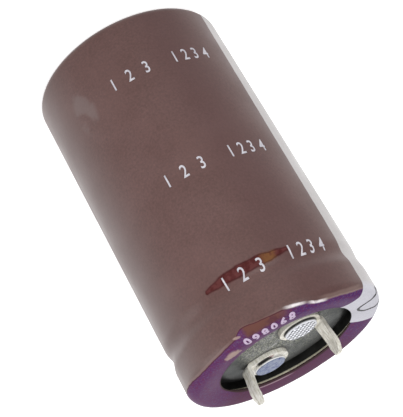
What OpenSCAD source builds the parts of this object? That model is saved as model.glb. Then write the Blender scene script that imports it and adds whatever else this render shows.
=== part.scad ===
// Snap-in electrolytic capacitor with a shrunk plastic sleeve, standing on its closed end.
// Sizes are in millimetres. The origin is the middle of the face it stands on, +Z runs along
// the can to the terminals, and +X runs to the positive terminal.

/* [Can] */
// Outside diameter of the drawn can
can_d = 25.4; // [22:0.1:30]
// Height of the can from its closed end to the crest of its rim
can_h = 44.3; // [36:0.1:60]
// Thickness of the can's wall
can_wall = 0.4; // [0.3:0.02:0.5]
// Thickness of the closed end
can_floor = 0.6; // [0.45:0.05:1]
// Outside radius between the wall and the closed end
heel_r = 0.9; // [0.7:0.05:1.2]
// Outside radius of the shoulder between the wall and the rim
shoulder_r = 1.3; // [1:0.05:1.6]
// How far the wall is swelled outwards beside the sealing disc
seal_swell = 0.08; // [0:0.01:0.15]

/* [Curled rim] */
// Distance from the wall's outside to the curl's inner face
rim_w = 3.1; // [2.6:0.05:3.4]
// Outside radius of the curl's last turn
curl_r = 0.65; // [0.55:0.05:0.8]
// Depth of the curl's cut end below the crest
curl_drop = 1.95; // [1.6:0.05:2.2]
// How far the rim has fallen at the sleeve's opening
rim_fall = 0.5; // [0.2:0.05:0.7]

/* [Bead] */
// Depth of the groove rolled round the can under the sealing disc
bead_depth = 1.1; // [0.8:0.05:1.3]
// Height of that groove
bead_h = 3.4; // [2.8:0.1:4]

/* [Vent] */
// Length of each scored line of the vent in the closed end
vent_len = 13; // [8:0.5:16]
// Width of a scored line at the surface
vent_w = 0.6; // [0.4:0.05:0.8]
// Depth of a scored line
vent_depth = 0.3; // [0.2:0.02:0.4]

/* [Sleeve] */
// Thickness of the shrunk sleeve
sleeve_t = 0.18; // [0.12:0.01:0.25]
// Air film left between the sleeve and the can
sleeve_film = 0.02; // [0.01:0.01:0.04]
// Radius of the sleeve's opening over the terminals
lip_r = 8.8; // [8.4:0.1:9.2]
// Radius of the sleeve's opening over the closed end
lap_r = 9.4; // [8.6:0.1:10.5]
// Depth of the dip where the sleeve bridges the bead
sleeve_dip = 0.3; // [0.1:0.02:0.5]

/* [Sealing disc] */
// Thickness of the rubber facing where the curl presses it
rubber_t = 0.95; // [0.8:0.05:1.4]
// Height of the rubber's face above that pressed rim
rubber_rise = 0.45; // [0.2:0.05:0.7]
// Radius of the level part of that face
face_r = 8; // [7.4:0.1:8.6]
// Thickness of the hard board under the rubber
board_t = 1.5; // [1.2:0.1:2]
// Gap between the board's edge and the can's wall
board_gap = 0.3; // [0.2:0.02:0.4]

/* [Rivets] */
// Sideways distance of each rivet from the can's axis
rivet_x = 2.65; // [2.4:0.05:2.9]
// Distance of each rivet in front of or behind the can's axis
rivet_y = 3.2; // [2.6:0.05:3.4]
// Diameter of a rivet's shank
shank_d = 2.2; // [1.8:0.1:2.6]
// Diameter of a rivet's outer head
head_d = 4.15; // [3.9:0.05:4.8]
// Height of a rivet's outer head
head_h = 0.5; // [0.4:0.02:0.8]
// Width of the bevel round an outer head
head_bevel = 0.18; // [0.1:0.02:0.25]
// Diameter of a rivet's inner head
foot_d = 3.8; // [3.4:0.1:4.2]
// Height of a rivet's inner head
foot_h = 0.5; // [0.4:0.05:0.7]

/* [Knurled head] */
// Distance between two lines of the pattern pressed into the negative rivet
knurl_pitch = 0.58; // [0.5:0.02:0.7]
// Depth of those lines
knurl_depth = 0.12; // [0.08:0.01:0.15]
// Direction of one set of the lines, in degrees
knurl_turn = 55; // [0:1:90]

/* [Terminals] */
// Thickness of the terminals' sheet
lug_t = 0.55; // [0.5:0.05:0.8]
// Diameter of the ring under the rivet's head
ring_d = 5.3; // [5.1:0.1:5.6]
// Distance from the positive rivet's axis to the middle of its blade
reach_pos = 3.35; // [2.8:0.05:3.8]
// Distance from the negative rivet's axis to the middle of its blade
reach_neg = 2.95; // [2.8:0.05:3.8]
// Width of the neck between ring and blade
neck_w = 1.8; // [1.7:0.1:3]
// Width of a blade
blade_w = 1.6; // [1.1:0.05:1.7]
// Height of a blade's tip above the sleeve's crest
tip_rise = 3.3; // [3:0.1:4.5]
// Width of a blade's tip
tip_w = 0.8; // [0.6:0.05:1]
// Length of the narrowing tip
tip_len = 1; // [0.7:0.05:1.3]
// How far a blade is kinked outwards to hold in its slot
kink = 0.25; // [0.2:0.05:0.5]
// Height of the kink's crown below the tip
kink_drop = 1.7; // [1.5:0.1:2]
// Length of the leaning stretch below the kink's crown
kink_len = 2; // [1.5:0.1:2.5]
// Inside radius of the bend between ring and blade
bend_r = 0.3; // [0.2:0.05:0.4]
// Direction of the positive blade from its rivet, in degrees
turn_pos = -34; // [-50:1:-20]
// Direction of the negative blade from its rivet, in degrees
turn_neg = 142; // [130:1:160]
// Outward lean of the positive blade, in degrees
lean_pos = 3; // [0:0.5:10]
// Outward lean of the negative blade, in degrees
lean_neg = 2; // [0:0.5:10]

/* [Wound element] */
// Gap between the winding's tape and the can's wall
winding_gap = 0.3; // [0.15:0.05:0.5]
// Gap between the winding's top and the bead
head_room = 0.8; // [0.5:0.1:1.5]
// Diameter of the hole that the winding mandrel leaves
core_d = 3; // [2:0.1:4]
// Distance between two ridges on the winding's ends
turn_pitch = 0.9; // [0.7:0.05:1.2]
// Depth of the hollows between those ridges
turn_depth = 0.2; // [0.1:0.02:0.3]
// Thickness of the closing tape
tape_t = 0.12; // [0.08:0.01:0.2]
// Height of the closing tape
tape_h = 18; // [12:0.5:24]
// Angle over which the tape overlaps itself, in degrees
tape_lap = 50; // [20:5:90]

/* [Tabs] */
// Diameter of the washer on a rivet's inner end
washer_d = 4.6; // [4.2:0.1:4.8]
// Thickness of that washer
washer_t = 0.4; // [0.3:0.05:0.6]
// Thickness of the foil tabs
tab_t = 0.2; // [0.15:0.01:0.3]
// Width of the foil tabs
tab_w = 3.2; // [2.8:0.1:3.6]
// Distance from the rivet's axis to the tab's fold
tab_reach = 3.4; // [3:0.1:3.8]

/* [Fits] */
// Clearance between pieces that are pushed or pressed together
fit = 0.03; // [0.01:0.01:0.05]

/* [Hidden] */
$fn = 96;
eps = 0.01;
arc_n = 10;
bead_n = 16;
rim_n = 6;

can_r = can_d / 2;
can_z = sleeve_t + sleeve_film;
crest_z = can_z + can_h;
crest_r = can_r + seal_swell - shoulder_r;
top_z = crest_z + sleeve_film + sleeve_t;
curl_in = can_r - rim_w;
curl_z = crest_z - curl_drop;
rubber_z = curl_z - rubber_t;
floor_z = curl_z + rubber_rise;
board_z = rubber_z - board_t;
bead_half = bead_h / 2;
bead_z = board_z - bead_half * acos(2 * board_gap / bead_depth - 1) / 180;
lug_z = floor_z + lug_t;
bore_r = shank_d / 2 + fit;
under_z = board_z - washer_t;
foot_z = under_z - tab_t - foot_h;
winding_z = can_z + can_floor + fit;
winding_top = bead_z - bead_half - head_room;
winding_r = can_r - can_wall - winding_gap - 2 * tape_t - fit;

// Points on an arc, from angle a0 to angle a1
function arc(c, r, a0, a1) =
    [for (i = [0:arc_n]) let (a = a0 + (a1 - a0) * i / arc_n) [c[0] + r * cos(a), c[1] + r * sin(a)]];
function flipped(p) = [for (i = [len(p) - 1:-1:0]) p[i]];

// Height lost by the rim between its crest and radius r
function rim_drop(r) = rim_fall * pow((crest_r - r) / (crest_r - lip_r), 2);

// The can's side from heel to shoulder, moved inwards by e, with a groove of the given depth
function side(e, depth) = [for (i = [0:bead_n])
    let (t = 2 * i / bead_n - 1, swell = seal_swell * (1 - cos(180 * max(t, 0))) / 2)
    [can_r + swell - e - depth * (1 + cos(180 * t)) / 2, bead_z + bead_half * t]];
function heel(e) = arc([can_r - heel_r, can_z + heel_r], heel_r - e, -90, 0);
function shoulder(e) = arc([crest_r, crest_z - shoulder_r], shoulder_r - e, 0, 90);

// The rim from its crest inwards to radius r1
function rim(e, r1) = [for (i = [1:rim_n])
    let (r = crest_r + (r1 - crest_r) * i / rim_n) [r, crest_z - e - rim_drop(r)]];

// A strip of thickness t along a line of points, mitred at each point
function across(a, b) = let (d = b - a) [d[1], -d[0]] / norm(d);
function mitre(p, i) = let (n = len(p) - 1, k = max(i, 1), m = min(i, n - 1),
    u = across(p[k - 1], p[k]), v = across(p[m], p[m + 1])) (u + v) / (1 + u * v);
function strip(p, t) = concat([for (i = [0:len(p) - 1]) p[i] + mitre(p, i) * t / 2],
    [for (i = [len(p) - 1:-1:0]) p[i] - mitre(p, i) * t / 2]);

// The printed sleeve, shrunk over the heel, the bead, the shoulder and the rim
module sleeve() {
    out = -sleeve_film - sleeve_t;
    color("#7a5f5c") rotate_extrude() polygon(concat(
        [[lap_r, can_z + out]], heel(out), side(out, sleeve_dip), shoulder(out), rim(out, lip_r),
        flipped(rim(-sleeve_film, lip_r)), flipped(shoulder(-sleeve_film)),
        flipped(side(-sleeve_film, sleeve_dip)), flipped(heel(-sleeve_film)),
        [[lap_r, can_z - sleeve_film]]));
}

// One scored line of the vent, across the middle of the closed end
module vent_line() {
    translate([0, 0, can_z]) rotate([90, 0, 90])
        linear_extrude(vent_len, center = true)
            polygon([[-vent_w / 2, 0], [0, vent_depth], [vent_w / 2, 0], [vent_w / 2, -eps],
                [-vent_w / 2, -eps]]);
}

// The drawn can, beaded under the sealing disc and curled over its edge
module can() {
    turn_r = curl_in + curl_r;
    slope = atan(2 * rim_fall * (crest_r - turn_r) / pow(crest_r - lip_r, 2));
    meet_r = turn_r - curl_r * sin(slope);
    turn_z = crest_z - rim_drop(meet_r) - curl_r * cos(slope);
    inner_r = meet_r + can_wall * sin(slope);
    inner_heel = heel_r - can_wall;
    color("#b9bdc1") difference() {
        rotate_extrude() polygon(concat(
            [[0, can_z]], heel(0), side(0, bead_depth), shoulder(0), rim(0, meet_r + eps),
            arc([turn_r, turn_z], curl_r, 90 + slope, 180),
            [[curl_in, curl_z], [curl_in + can_wall, curl_z]],
            flipped(arc([turn_r, turn_z], curl_r - can_wall, 90 + slope, 180)),
            flipped(rim(can_wall, inner_r + eps)), flipped(shoulder(can_wall)),
            flipped(side(can_wall, bead_depth)),
            flipped(arc([can_r - heel_r, can_z + can_floor + inner_heel], inner_heel, -90, 0)),
            [[0, can_z + can_floor]]));
        for (a = [0, 90]) rotate([0, 0, a]) vent_line();
    }
}

// The rubber facing, pressed down under the curl and level round the rivets
module seal_rubber() {
    edge_r = can_r + seal_swell - can_wall - fit;
    rise = [for (i = [0:arc_n]) [curl_in - fit + (face_r - curl_in + fit) * i / arc_n,
        curl_z + rubber_rise * (1 - cos(180 * i / arc_n)) / 2]];
    color("#4c4d4c") difference() {
        rotate_extrude() polygon(concat([[0, rubber_z], [edge_r, rubber_z], [edge_r, curl_z]],
            rise, [[0, floor_z]]));
        rivet_bores(rubber_z, floor_z);
    }
}

// The hard board that rests on the bead and carries the rivets
module seal_board() {
    color("#6e4a2e") difference() {
        translate([0, 0, board_z]) cylinder(r = can_r - can_wall - board_gap, h = board_t);
        rivet_bores(board_z, rubber_z);
    }
}

module rivet_bores(z0, z1) {
    for (s = [-1, 1]) translate([s * rivet_x, s * rivet_y, z0 - eps])
        cylinder(r = bore_r, h = z1 - z0 + 2 * eps);
}

// Half of the neck's outline: from its end back to where its edge touches the ring
function neck(x) = let (c = [x, neck_w / 2], a = atan2(c[1], c[0]) + acos(ring_d / 2 / norm(c)))
    [c, ring_d / 2 * [cos(a), sin(a)]];

// A stamped terminal about its rivet's axis, with its blade towards +X and leaning outwards
module lug(reach, lean) {
    blade_top = top_z + tip_rise - floor_z;
    bend_z = lug_t + bend_r;
    crown_z = blade_top - kink_drop;
    blade_x = reach + lug_t / 2;
    edge = neck(blade_x - bend_z);
    difference() {
        union() {
            cylinder(d = ring_d, h = lug_t);
            linear_extrude(lug_t) polygon([edge[1], edge[0], [edge[0][0], -edge[0][1]],
                [edge[1][0], -edge[1][1]]]);
            intersection() {
                rotate([90, 0, 0]) linear_extrude(neck_w, center = true) {
                    translate([blade_x - bend_z, bend_z]) intersection() {
                        difference() {
                            circle(r = bend_z);
                            circle(r = bend_r);
                        }
                        translate([0, -bend_z]) square(bend_z);
                    }
                    polygon(strip([for (q = [[0, bend_z], [0, crown_z - kink_len], [kink, crown_z],
                        [kink / 3, blade_top]])
                        [reach + q[0] + (q[1] - bend_z) * tan(lean), q[1]]], lug_t));
                }
                rotate([90, 0, 90]) linear_extrude(blade_x + 2 * kink + blade_top * tan(lean))
                    polygon([[-neck_w / 2, 0], [neck_w / 2, 0], [blade_w / 2, 2 * bend_z],
                        [blade_w / 2, blade_top - tip_len], [tip_w / 2, blade_top],
                        [-tip_w / 2, blade_top], [-blade_w / 2, blade_top - tip_len],
                        [-blade_w / 2, 2 * bend_z]]);
            }
        }
        translate([0, 0, -eps]) cylinder(r = bore_r, h = lug_t + 2 * eps);
    }
}

module terminal_positive() {
    color("#d9d2bd") translate([rivet_x, rivet_y, floor_z]) rotate([0, 0, turn_pos])
        lug(reach_pos, lean_pos);
}

module terminal_negative() {
    color("#d9d2bd") translate([-rivet_x, -rivet_y, floor_z]) rotate([0, 0, turn_neg])
        lug(reach_neg, lean_neg);
}

// A rivet about its own axis, from its inner head to its outer head
module rivet() {
    head_r = head_d / 2;
    head_z = lug_z + head_h;
    rotate_extrude() polygon([[0, foot_z], [foot_d / 2, foot_z], [foot_d / 2, foot_z + foot_h],
        [shank_d / 2, foot_z + foot_h], [shank_d / 2, lug_z], [head_r, lug_z],
        [head_r, head_z - head_bevel], [head_r - head_bevel, head_z], [0, head_z]]);
}

module rivet_positive() {
    color("#b8bfd6") translate([rivet_x, rivet_y, 0]) rivet();
}

// The negative rivet carries a pressed pattern of crossing lines
module rivet_negative() {
    lines = floor((head_d / 2 - head_bevel) / knurl_pitch);
    color("#c9cbd2") translate([-rivet_x, -rivet_y, 0]) difference() {
        rivet();
        for (a = [0, 90], i = [-lines:lines])
            rotate([0, 0, a + knurl_turn]) translate([0, i * knurl_pitch, lug_z + head_h])
                rotate([90, 0, 90]) linear_extrude(head_d, center = true)
                    polygon([[-knurl_depth, eps], [-knurl_depth, 0], [0, -knurl_depth],
                        [knurl_depth, 0], [knurl_depth, eps]]);
    }
}

// A washer between the board and a foil tab
module washer() {
    translate([0, 0, under_z]) difference() {
        cylinder(d = washer_d, h = washer_t);
        translate([0, 0, -eps]) cylinder(r = bore_r, h = washer_t + 2 * eps);
    }
}

module washer_positive() {
    color("#b4b8bc") translate([rivet_x, rivet_y, 0]) washer();
}

module washer_negative() {
    color("#b4b8bc") translate([-rivet_x, -rivet_y, 0]) washer();
}

// A foil tab about its rivet's axis: flat under the washer, folded back, and down to the winding
module tab() {
    flat_z = under_z - tab_t / 2;
    fold_r = (flat_z - winding_top - tab_t / 2) / 4;
    low_z = winding_top + tab_t / 2;
    difference() {
        rotate([90, 0, 0]) linear_extrude(tab_w, center = true)
            polygon(strip(concat([[-tab_w / 2, flat_z]],
                arc([tab_reach, flat_z - fold_r], fold_r, 90, -90),
                arc([tab_reach - 2 * fold_r, low_z + fold_r], fold_r, 90, 270),
                [[tab_reach, low_z]]), tab_t));
        translate([0, 0, flat_z - tab_t]) cylinder(r = bore_r, h = 2 * tab_t);
    }
}

module tab_positive() {
    color("#a9adb2") translate([rivet_x, rivet_y, 0]) rotate([0, 0, 60]) tab();
}

module tab_negative() {
    color("#a9adb2") translate([-rivet_x, -rivet_y, 0]) rotate([0, 0, 240]) tab();
}

// The wound foils and papers, with their turns as ridges on both ends
module winding() {
    core_r = core_d / 2;
    turns = floor((winding_r - core_r) / turn_pitch);
    step = (winding_r - core_r) / turns;
    low = [for (i = [0:turns - 1], k = [0, 1])
        [core_r + (i + k / 2) * step, winding_z + k * turn_depth]];
    high = [for (i = [turns - 1:-1:0], k = [1, 0])
        [core_r + (i + k / 2) * step, winding_top - k * turn_depth]];
    color("#8d8878") rotate_extrude() polygon(concat(low,
        [[winding_r, winding_z], [winding_r, winding_top]], high));
}

// The tape that closes the winding, with its overlapped end
module winding_tape() {
    tape_z = (winding_z + winding_top - tape_h) / 2;
    color("#c69a5b") translate([0, 0, tape_z]) {
        rotate_extrude() translate([winding_r + fit, 0]) square([tape_t, tape_h]);
        rotate_extrude(angle = tape_lap) translate([winding_r + fit + tape_t / 2, 0])
            square([1.5 * tape_t, tape_h]);
    }
}

sleeve();
can();
seal_rubber();
seal_board();
terminal_positive();
terminal_negative();
rivet_positive();
rivet_negative();
washer_positive();
washer_negative();
tab_positive();
tab_negative();
winding();
winding_tape();
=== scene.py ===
import math

import bpy
from mathutils import Matrix, Vector


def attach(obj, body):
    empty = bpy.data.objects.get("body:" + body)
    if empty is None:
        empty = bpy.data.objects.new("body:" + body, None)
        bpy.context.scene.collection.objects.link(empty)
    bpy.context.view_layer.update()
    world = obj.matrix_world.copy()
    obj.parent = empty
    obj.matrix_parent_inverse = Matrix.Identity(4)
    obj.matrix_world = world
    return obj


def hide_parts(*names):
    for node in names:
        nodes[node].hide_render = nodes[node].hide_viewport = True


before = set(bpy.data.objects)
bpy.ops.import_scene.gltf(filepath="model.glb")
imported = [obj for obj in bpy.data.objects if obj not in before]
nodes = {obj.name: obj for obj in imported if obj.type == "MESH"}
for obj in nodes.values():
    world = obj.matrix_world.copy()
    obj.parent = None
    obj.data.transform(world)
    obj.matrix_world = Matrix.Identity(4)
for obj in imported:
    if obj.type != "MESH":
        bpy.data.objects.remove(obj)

# Snap-in capacitor on its closed end, +Z to the blades, +X to the positive blade.
# Lengths in the dictionaries are millimetres, angles are degrees.
mm = 0.001
degree = math.radians(1)
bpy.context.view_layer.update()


def deselectAll():
    if bpy.context.object and bpy.context.object.mode != "OBJECT":
        bpy.ops.object.mode_set(mode="OBJECT")
    bpy.ops.object.select_all(action="DESELECT")


def pick(*pieces):
    deselectAll()
    for piece in pieces:
        piece.select_set(True)
    bpy.context.view_layer.objects.active = pieces[0]


def editAll(piece):
    pick(piece)
    bpy.ops.object.mode_set(mode="EDIT")
    bpy.ops.mesh.select_all(action="SELECT")


def finishPiece(piece, material, node=None):
    deselectAll()
    piece.data.materials.clear()
    piece.data.materials.append(material)
    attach(piece, "root")
    if node:
        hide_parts(node)


def addModifier(piece, kind, **settings):
    pick(piece)
    modifier = piece.modifiers.new(kind.title(), kind)
    for name, value in settings.items():
        setattr(modifier, name, value)
    bpy.ops.object.modifier_apply(modifier=modifier.name)


def smoothShade(piece, degrees):
    pick(piece)
    bpy.ops.object.shade_smooth_by_angle(angle=math.radians(degrees))


# Camera as solved from the outline in the photo
cameraSet = {
    "elevation": 24.52,
    "roll": 150.31,
    "distance": 153.29,
    "lookHeight": 22.37,
    "focalPixels": 1214.0,
    "shift": (-2.54, -3.36),
    "imageSize": (403, 417),
    "sensorWidth": 36,
    "clip": (0.005, 20),
}


def addCamera(c):
    elevation, roll = math.radians(c["elevation"]), math.radians(c["roll"])
    back = Vector((0, -math.cos(elevation), math.sin(elevation)))
    right = Vector((1, 0, 0))
    up = back.cross(right)
    turnedRight = math.cos(roll) * right + math.sin(roll) * up
    turnedUp = -math.sin(roll) * right + math.cos(roll) * up
    place = Vector((0, 0, c["lookHeight"] * mm)) + back * c["distance"] * mm
    bpy.ops.object.camera_add(location=place)
    camera = bpy.context.object
    camera.name = "photoCamera"
    axes = Matrix((turnedRight, turnedUp, back)).transposed()
    camera.rotation_mode = "QUATERNION"
    camera.rotation_quaternion = axes.to_quaternion()
    longSide = max(c["imageSize"])
    camera.data.sensor_width = c["sensorWidth"]
    camera.data.lens = c["focalPixels"] * c["sensorWidth"] / longSide
    camera.data.shift_x = c["shift"][0] / longSide
    camera.data.shift_y = c["shift"][1] / longSide
    camera.data.clip_start, camera.data.clip_end = c["clip"]
    bpy.context.scene.camera = camera


addCamera(cameraSet)
print("camera: placed")


# Shared effects as node groups
def newGroup(name, inputs, outputs):
    group = bpy.data.node_groups.new(name, "ShaderNodeTree")
    for title, kind, value in inputs:
        socket = group.interface.new_socket(title, in_out="INPUT", socket_type=kind)
        if value is not None:
            socket.default_value = value
    for title, kind in outputs:
        group.interface.new_socket(title, in_out="OUTPUT", socket_type=kind)
    enter = group.nodes.new("NodeGroupInput")
    leave = group.nodes.new("NodeGroupOutput")
    return group, enter, leave


class Web:
    # small helper that adds and joins shader nodes in one tree
    def __init__(self, tree):
        self.tree = tree

    def put(self, kind, **settings):
        node = self.tree.nodes.new(kind)
        for name, value in settings.items():
            setattr(node, name, value)
        return node

    def join(self, source, target):
        self.tree.links.new(source, target)

    def feed(self, socket, value):
        if hasattr(value, "links"):
            self.join(value, socket)
        else:
            socket.default_value = value

    def math(self, operation, first, second=0.0, third=None, clamp=False):
        node = self.put("ShaderNodeMath", operation=operation, use_clamp=clamp)
        self.feed(node.inputs[0], first)
        self.feed(node.inputs[1], second)
        if third is not None:
            self.feed(node.inputs[2], third)
        return node.outputs[0]

    def times(self, *values):
        result = values[0]
        for value in values[1:]:
            result = self.math("MULTIPLY", result, value)
        return result

    def ramp(self, value, low, high, start=0.0, end=1.0):
        # smooth step from start at low to end at high
        node = self.put("ShaderNodeMapRange", interpolation_type="SMOOTHSTEP")
        self.feed(node.inputs["Value"], value)
        for title, number in (("From Min", low), ("From Max", high), ("To Min", start), ("To Max", end)):
            self.feed(node.inputs[title], number)
        return node.outputs["Result"]

    def rise(self, value, span):
        # from 0 to 1 over a span in millimetres
        return self.ramp(value, span[0] * mm, span[1] * mm)

    def noise(self, vector, scale, detail=3.0, rough=0.5):
        node = self.put("ShaderNodeTexNoise")
        self.join(vector, node.inputs["Vector"])
        self.feed(node.inputs["Scale"], scale)
        self.feed(node.inputs["Detail"], detail)
        self.feed(node.inputs["Roughness"], rough)
        return node.outputs["Fac"]

    def speckle(self, vector, scale, detail, low, high, start=0.0, end=1.0):
        return self.ramp(self.noise(vector, scale, detail), low, high, start, end)

    def waver(self, vector, scale, detail, amount):
        # noise about 0
        return self.math("MULTIPLY", self.math("SUBTRACT", self.noise(vector, scale, detail), 0.5), amount)

    def mix(self, factor, first, second):
        node = self.put("ShaderNodeMix", data_type="RGBA")
        self.feed(node.inputs["Factor"], factor)
        self.feed(node.inputs["A"], first)
        self.feed(node.inputs["B"], second)
        return node.outputs["Result"]

    def paint(self, color, tone, *masks):
        # lays a tone over a colour as far as all the masks let it
        return self.mix(self.times(*masks), color, (*tone, 1))

    def scale(self, color, factor):
        node = self.put("ShaderNodeVectorMath", operation="SCALE")
        self.join(color, node.inputs[0])
        self.join(factor, node.inputs["Scale"])
        return node.outputs[0]

    def split(self, vector, turn=0.0, shift=(0.0, 0.0)):
        # coordinates about a vertical line at shift, after a turn about it
        moved = self.put("ShaderNodeMapping", vector_type="TEXTURE")
        moved.inputs["Location"].default_value = (shift[0] * mm, shift[1] * mm, 0)
        moved.inputs["Rotation"].default_value = (0, 0, math.radians(turn))
        self.join(vector, moved.inputs["Vector"])
        parts = self.put("ShaderNodeSeparateXYZ")
        self.join(moved.outputs["Vector"], parts.inputs[0])
        return parts.outputs

    def azimuth(self, vector, middle):
        parts = self.split(vector, middle)
        return self.math("ARCTAN2", parts["Y"], parts["X"])

    def radius(self, vector, shift=(0.0, 0.0)):
        parts = self.split(vector, 0, shift)
        square = self.math("MULTIPLY", parts["X"], parts["X"])
        return self.math("SQRT", self.math("MULTIPLY_ADD", parts["Y"], parts["Y"], square))

    def curve(self, value, points):
        # value and points in degrees, smooth between the points
        node = self.put("ShaderNodeFloatCurve")
        line = node.mapping.curves[0]
        places = [((angle + 180) / 360, (level + 90) / 180) for angle, level in points]
        line.points[0].location = (0, places[0][1])
        line.points[1].location = (1, places[-1][1])
        for place in places:
            line.points.new(*place)
        node.mapping.update()
        whole = self.math("DIVIDE", self.math("ADD", value, math.pi), 2 * math.pi)
        self.feed(node.inputs["Value"], whole)
        return self.math("MULTIPLY_ADD", node.outputs["Value"], math.pi, -math.pi / 2)

    def near(self, value, middle, half, soft):
        # 1 within half of the middle, falling to 0 over soft
        away = self.math("ABSOLUTE", self.math("SUBTRACT", value, middle))
        return self.ramp(away, half + soft, half)

    def degreesNear(self, value, span):
        # near, with the middle, half width and soft edge in degrees
        return self.near(value, *(angle * degree for angle in span))

    def sector(self, vector, span):
        middle, half, soft = span
        return self.degreesNear(self.azimuth(vector, middle), (0, half, soft))

    def foldMark(self, color, tone, mark, around, over):
        return self.paint(color, tone, self.degreesNear(around, mark["around"]),
                          self.degreesNear(over, mark["over"]), mark["strength"])

    def blob(self, first, firstMiddle, firstHalf, second, secondMiddle, secondHalf):
        # 1 at the middle of an oval, falling to 0 at its edge
        across = self.math("DIVIDE", self.math("SUBTRACT", first, firstMiddle), firstHalf)
        along = self.math("DIVIDE", self.math("SUBTRACT", second, secondMiddle), secondHalf)
        away = self.math("MULTIPLY_ADD", along, along, self.math("MULTIPLY", across, across))
        return self.ramp(away, 1.0, 0.25)


def buildSpeckle():
    # fine grain and broad clouding for films, rubber and board
    group, enter, leave = newGroup(
        "grainAndCloud",
        [("Vector", "NodeSocketVector", None), ("Color", "NodeSocketColor", (0.5, 0.5, 0.5, 1)),
         ("Second Color", "NodeSocketColor", (0.4, 0.4, 0.4, 1)), ("Cloud Scale", "NodeSocketFloat", 200),
         ("Grain Scale", "NodeSocketFloat", 5000), ("Grain Amount", "NodeSocketFloat", 0.1)],
        [("Color", "NodeSocketColor"), ("Grain", "NodeSocketFloat"), ("Cloud", "NodeSocketFloat")])
    web = Web(group)
    cloud = web.noise(enter.outputs["Vector"], enter.outputs["Cloud Scale"], 4, 0.55)
    cloud = web.ramp(cloud, 0.32, 0.68)
    grain = web.noise(enter.outputs["Vector"], enter.outputs["Grain Scale"], 2, 0.6)
    base = web.mix(cloud, enter.outputs["Color"], enter.outputs["Second Color"])
    lift = web.math("MULTIPLY_ADD", web.math("SUBTRACT", grain, 0.5), enter.outputs["Grain Amount"], 1.0)
    web.join(web.scale(base, lift), leave.inputs["Color"])
    web.join(grain, leave.inputs["Grain"])
    web.join(cloud, leave.inputs["Cloud"])
    return group


def buildHandling():
    # rolling lines, smudges and pits on bare metal
    group, enter, leave = newGroup(
        "handledMetal",
        [("Vector", "NodeSocketVector", None), ("Color", "NodeSocketColor", (0.8, 0.8, 0.8, 1)),
         ("Stain", "NodeSocketColor", (0.6, 0.6, 0.6, 1)), ("Line Scale", "NodeSocketFloat", 3000),
         ("Smudge Scale", "NodeSocketFloat", 400), ("Low Roughness", "NodeSocketFloat", 0.25),
         ("High Roughness", "NodeSocketFloat", 0.45)],
        [("Color", "NodeSocketColor"), ("Roughness", "NodeSocketFloat"), ("Height", "NodeSocketFloat")])
    web = Web(group)
    stretch = web.put("ShaderNodeMapping", vector_type="POINT")
    stretch.inputs["Scale"].default_value = (1, 1, 0.06)
    web.join(enter.outputs["Vector"], stretch.inputs["Vector"])
    lines = web.noise(stretch.outputs["Vector"], enter.outputs["Line Scale"], 2, 0.5)
    smudgeAndSheen = web.ramp(web.noise(enter.outputs["Vector"], enter.outputs["Smudge Scale"], 4, 0.6), 0.38, 0.66)
    streak = web.ramp(lines, 0.42, 0.62)
    pits = web.ramp(web.noise(enter.outputs["Vector"], 2600, 1, 0.4), 0.60, 0.72)
    tone = web.mix(web.math("MULTIPLY_ADD", streak, 0.35, web.math("MULTIPLY", smudgeAndSheen, 0.65)),
                   enter.outputs["Color"], enter.outputs["Stain"])
    spread = web.math("SUBTRACT", enter.outputs["High Roughness"], enter.outputs["Low Roughness"])
    rough = web.math("MULTIPLY_ADD", smudgeAndSheen, spread, enter.outputs["Low Roughness"])
    rough = web.math("ADD", rough, web.math("MULTIPLY", web.math("SUBTRACT", lines, 0.5), 0.12), clamp=True)
    height = web.math("SUBTRACT", web.math("MULTIPLY", lines, 0.5), web.math("MULTIPLY", pits, 0.35))
    web.join(tone, leave.inputs["Color"])
    web.join(rough, leave.inputs["Roughness"])
    web.join(height, leave.inputs["Height"])
    return group


grainAndCloud = buildSpeckle()
handledMetal = buildHandling()


def newMaterial(name):
    material = bpy.data.materials.new(name)
    material.use_nodes = True
    tree = material.node_tree
    shader = tree.nodes["Principled BSDF"]
    web = Web(tree)
    place = web.put("ShaderNodeTexCoord").outputs["Object"]
    return material, web, shader, place


def useGroup(web, group, **values):
    node = web.put("ShaderNodeGroup")
    node.node_tree = group
    for title, value in values.items():
        web.feed(node.inputs[title.replace("_", " ")], value)
    return node


def addBump(web, shader, height, strength, distance):
    bump = web.put("ShaderNodeBump")
    bump.inputs["Strength"].default_value = strength
    bump.inputs["Distance"].default_value = distance
    web.feed(bump.inputs["Height"], height)
    web.join(bump.outputs["Normal"], shader.inputs["Normal"])


def metalMaterial(name, look, marks=None):
    material, web, shader, place = newMaterial(name)
    group = useGroup(web, handledMetal, Vector=place, Color=(*look["color"], 1), Stain=(*look["stain"], 1),
                     Line_Scale=look["lineScale"], Smudge_Scale=look["smudgeScale"],
                     Low_Roughness=look["rough"][0], High_Roughness=look["rough"][1])
    color = group.outputs["Color"]
    shader.inputs["Metallic"].default_value = look["metallic"]
    if marks:
        color = marks(web, place, color)
    web.join(color, shader.inputs["Base Color"])
    web.join(group.outputs["Roughness"], shader.inputs["Roughness"])
    addBump(web, shader, group.outputs["Height"], look["bump"], 0.00005)
    return material


def softMaterial(name, look, marks=None):
    material, web, shader, place = newMaterial(name)
    group = useGroup(web, grainAndCloud, Vector=place, Color=(*look["color"], 1),
                     Second_Color=(*look["second"], 1), Cloud_Scale=look["cloudScale"],
                     Grain_Scale=look["grainScale"], Grain_Amount=look["grain"])
    color = group.outputs["Color"]
    if marks:
        color = marks(web, place, color)
    web.join(color, shader.inputs["Base Color"])
    rough = web.ramp(group.outputs["Cloud"], 0, 1, *look["rough"])
    web.join(rough, shader.inputs["Roughness"])
    shader.inputs["Specular IOR Level"].default_value = look["gloss"]
    addBump(web, shader, group.outputs["Grain"], look["bump"], 0.00006)
    return material


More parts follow.
